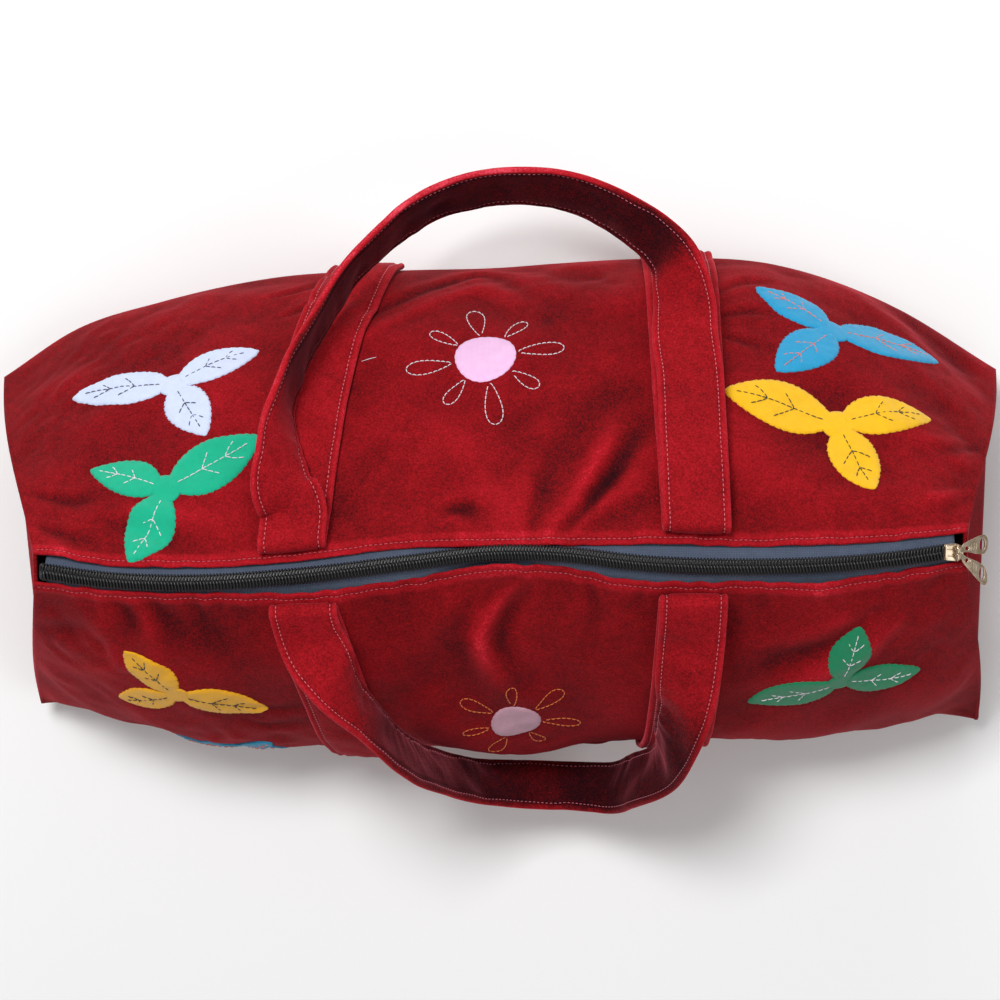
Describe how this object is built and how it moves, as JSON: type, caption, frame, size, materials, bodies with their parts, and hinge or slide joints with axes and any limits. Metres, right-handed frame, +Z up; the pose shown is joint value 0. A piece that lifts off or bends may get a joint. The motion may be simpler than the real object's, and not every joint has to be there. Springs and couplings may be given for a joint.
{
  "type": "velvet handbag",
  "caption": "Long soft velvet zip-top bag standing on its flat base, with carrying handles fallen to both sides and stitched cloth patches on both panels.",
  "frame": {"origin": "on the floor under the middle of the zip's length, in the plane of the base's flat underside", "axes": "+X along the zip towards its slider, +Y to the back panel, +Z up out of the base"},
  "size_m": [0.7082, 0.4571, 0.2394],
  "materials": {
    "velvet_red": "cotton velvet, soft pile",
    "velvet_strap": "cotton velvet, soft pile",
    "tape_slate": "woven polyester",
    "coil_black": "gloss nylon",
    "nickel": "pale nickel plate",
    "felt_white": "matt cotton cloth",
    "felt_green": "matt cotton cloth",
    "felt_blue": "matt cotton cloth",
    "felt_yellow": "matt cotton cloth",
    "felt_gold": "matt cotton cloth",
    "felt_teal": "matt cotton cloth",
    "felt_sky": "matt cotton cloth",
    "felt_pink": "matt cotton cloth",
    "felt_mauve": "matt cotton cloth"
  },
  "bodies": {
    "bag": {"back_panel": "velvet_red", "front_panel": "velvet_red", "base_panel": "velvet_red", "end_gusset_left": "velvet_red", "end_gusset_right": "velvet_red", "zip_tape_back": "tape_slate", "zip_tape_front": "tape_slate", "zip_coil": "coil_black", "zip_slider": "nickel", "handle_back": "velvet_strap", "handle_front": "velvet_strap", "patch_white": "felt_white", "patch_green": "felt_green", "patch_blue": "felt_blue", "patch_yellow": "felt_yellow", "patch_gold": "felt_gold", "patch_teal": "felt_teal", "patch_sky": "felt_sky", "patch_pink": "felt_pink", "patch_mauve": "felt_mauve"},
    "pull_front": {"pull_front": "nickel"},
    "pull_back": {"pull_back": "nickel"}
  },
  "joints": [
    {"name": "pull_front_hinge", "type": "hinge", "parent": "bag", "child": "pull_front", "pos_m": [0.29537, 0.00697, 0.22412], "axis": [0, -1, 0], "range_deg": [0, 110]},
    {"name": "pull_back_hinge", "type": "hinge", "parent": "bag", "child": "pull_back", "pos_m": [0.29537, 0.00697, 0.22412], "axis": [0, -1, 0], "range_deg": [0, 110]}
  ]
}
